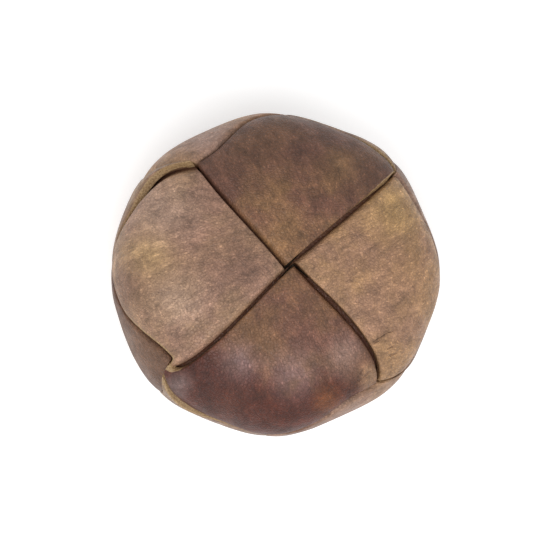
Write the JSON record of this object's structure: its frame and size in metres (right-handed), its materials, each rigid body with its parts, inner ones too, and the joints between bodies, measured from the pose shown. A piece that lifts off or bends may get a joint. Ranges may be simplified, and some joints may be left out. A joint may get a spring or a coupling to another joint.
{
  "type": "woven leather shank button",
  "caption": "Domed round button of leather strips woven over a former, with a pinwheel of panels in front, a band round the rim and a leather strap loop behind.",
  "frame": {"origin": "middle of the shank strap's flat outer face, the lowest point behind the button", "axes": "+Z out through the middle of the dome; +X along the shank strap, and along one of the seams of the front; +Y along the seam a quarter turn on"},
  "size_m": [0.0248, 0.0248, 0.0128],
  "materials": {
    "tan_leather": "matt, rubbed, open grain",
    "brown_leather": "dark antique, half matt",
    "rim_leather": "matt, with raw cut edges",
    "felt": "pressed wool felt",
    "former_wood": "turned, unfinished",
    "leather_board": "stiff bonded leather board",
    "strap_leather": "matt, with raw cut edges"
  },
  "bodies": {
    "root": {"strip_right": "tan_leather", "strip_rear": "brown_leather", "strip_left": "tan_leather", "strip_front": "brown_leather", "rim_band": "rim_leather", "dome_pad": "felt", "former": "former_wood", "back_disc": "leather_board", "shank_strap": "strap_leather"}
  },
  "joints": []
}
